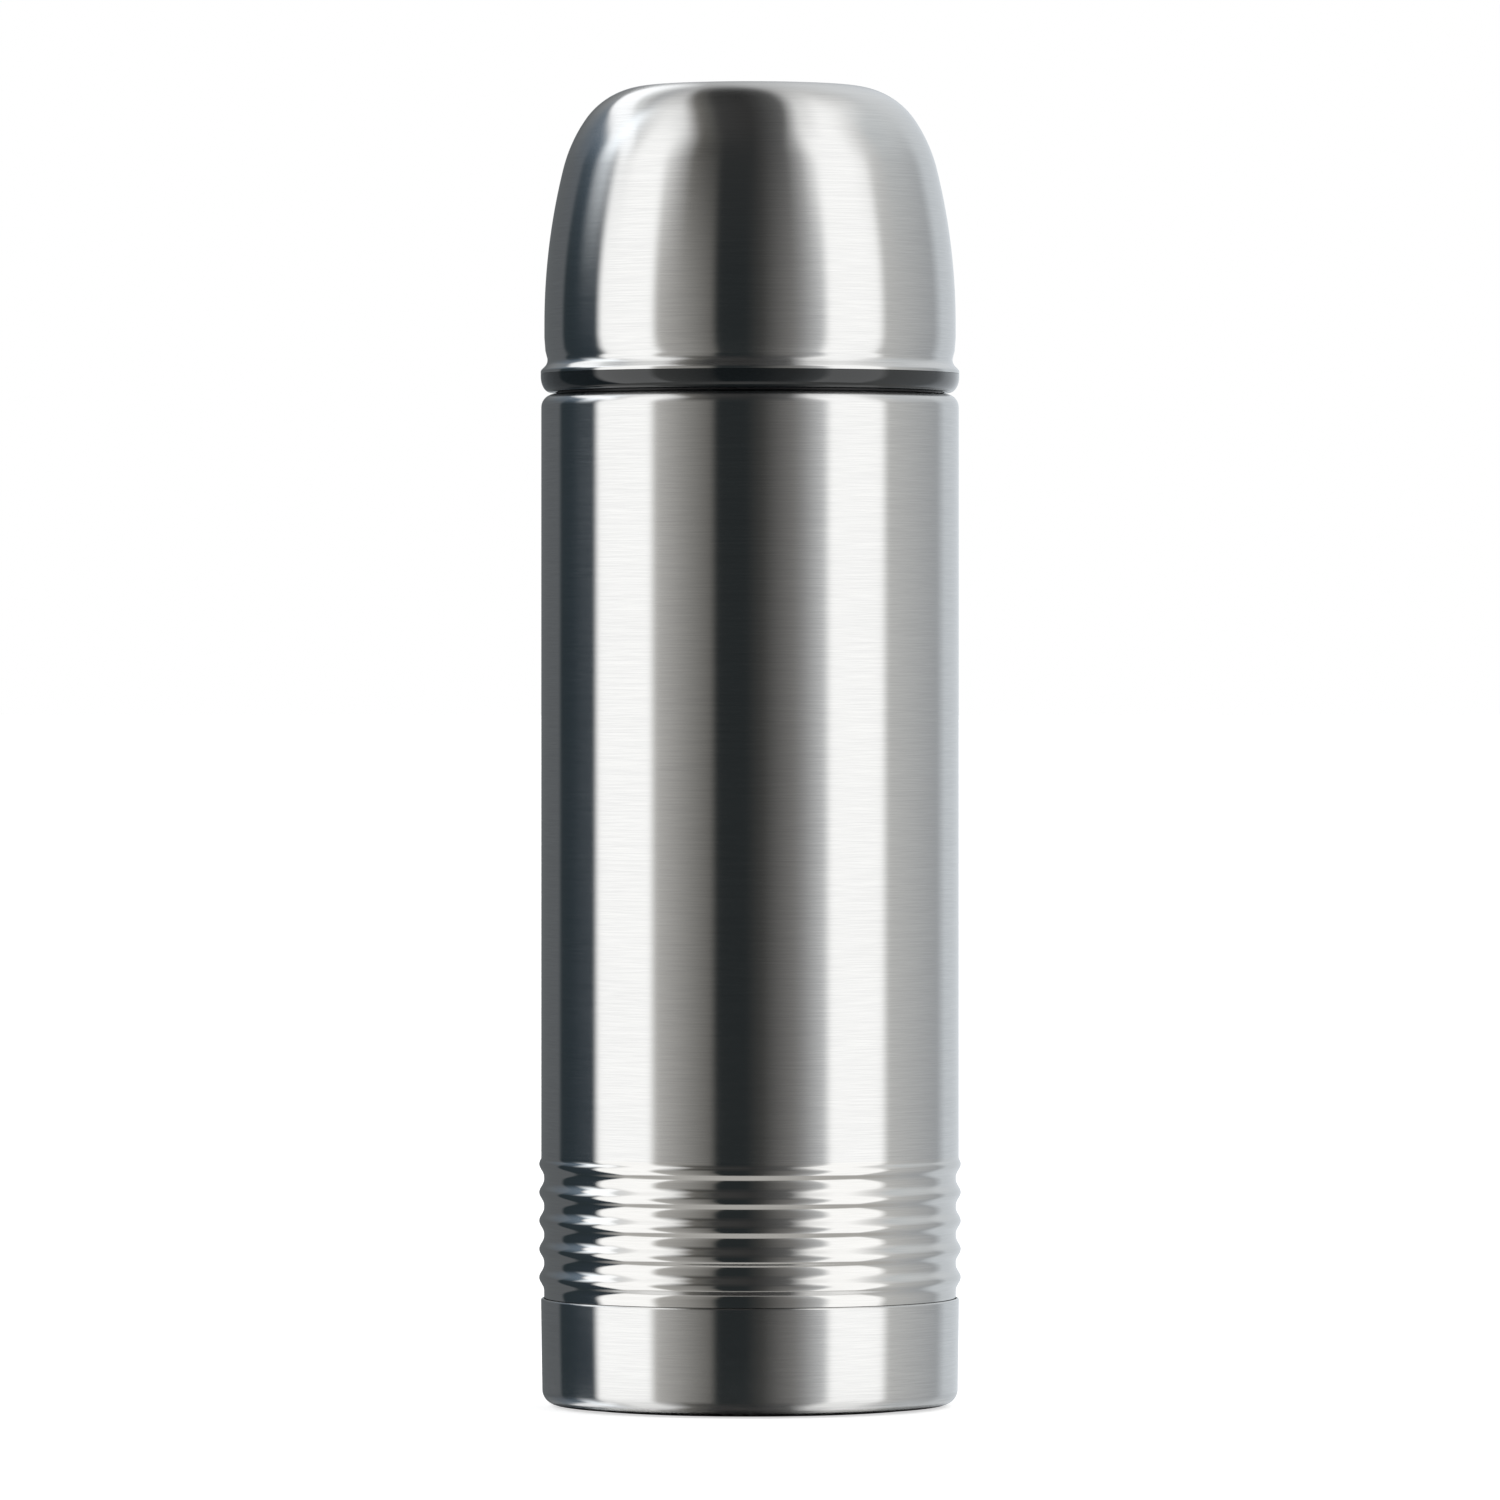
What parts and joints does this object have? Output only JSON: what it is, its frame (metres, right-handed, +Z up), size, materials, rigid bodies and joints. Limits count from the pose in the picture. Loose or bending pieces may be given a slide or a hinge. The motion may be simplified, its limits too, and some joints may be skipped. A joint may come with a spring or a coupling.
{
  "type": "vacuum flask",
  "caption": "Slim cylindrical steel vacuum flask with a domed screw-on drinking cup, rolled grip rings near its base and a push-button pouring stopper under the cup.",
  "frame": {"origin": "centre of the underside of the rubber foot pad, on the flask's axis", "axes": "+Z up along the flask's axis, from foot pad to cup; the flask is round, so +X and +Y only set where the threads and the pouring windows start (the windows face +X and -X)"},
  "size_m": [0.0818, 0.0818, 0.256],
  "materials": {
    "brushed_steel": "fine brushing that runs round the flask, clear bright reflections",
    "bottle_steel": "smooth pickled steel, not brushed",
    "gloss_black": "smooth glossy",
    "black_plastic": "satin moulded",
    "dark_grey_plastic": "satin moulded",
    "grey_plastic": "satin moulded",
    "silicone": "soft translucent silicone, matt",
    "black_rubber": "matt",
    "bright_steel": "drawn wire and rod, bright",
    "copper_foil": "thin bright foil",
    "getter_metal": "dull grey metal",
    "braze": "dull solidified bead"
  },
  "bodies": {
    "flask": {"base_pad": "black_rubber", "base_cap": "brushed_steel", "outer_bottom": "bottle_steel", "vacuum_plug": "braze", "getter": "getter_metal", "outer_shell": "brushed_steel", "inner_bottle": "bottle_steel", "inner_bottom": "bottle_steel", "radiation_foil": "copper_foil", "neck_collar": "black_plastic", "collar_seal": "black_rubber"},
    "cup_carrier": {"cup_gasket": "silicone"},
    "cup": {"cup_shell": "brushed_steel", "cup_lip_ring": "gloss_black", "cup_liner": "black_plastic"},
    "stopper_carrier": {"stopper_gasket": "silicone"},
    "stopper": {"stopper_body": "black_plastic", "stopper_cap": "dark_grey_plastic", "stopper_cap_seal": "silicone", "stem_guide": "black_plastic", "button_spring": "bright_steel"},
    "valve": {"push_button": "grey_plastic", "valve_stem": "bright_steel", "valve_disc": "black_plastic", "valve_seal": "silicone", "valve_nut": "bright_steel"}
  },
  "joints": [
    {"name": "cup_rise", "type": "slide", "parent": "flask", "child": "cup_carrier", "axis": [0, 0, 1], "range_m": [0, 0.06]},
    {"name": "cup_unscrew", "type": "hinge", "parent": "cup_carrier", "child": "cup", "pos_m": [0, 0, 0.1963], "axis": [0, 0, 1], "range_deg": [0, 1080]},
    {"name": "stopper_rise", "type": "slide", "parent": "flask", "child": "stopper_carrier", "axis": [0, 0, 1], "range_m": [0, 0.024]},
    {"name": "stopper_unscrew", "type": "hinge", "parent": "stopper_carrier", "child": "stopper", "pos_m": [0, 0, 0.212], "axis": [0, 0, 1], "range_deg": [0, 720]},
    {"name": "button_press", "type": "slide", "parent": "stopper", "child": "valve", "axis": [0, 0, -1], "range_m": [0, 0.004], "stiffness_N_per_m": 600, "springref_m": -0.004, "deforming": ["button_spring"]}
  ],
  "couplings": [
    {"joint": "cup_rise", "follows": "cup_unscrew", "m_per_rad": 0.0031831},
    {"joint": "stopper_rise", "follows": "stopper_unscrew", "m_per_rad": 0.0019099}
  ]
}
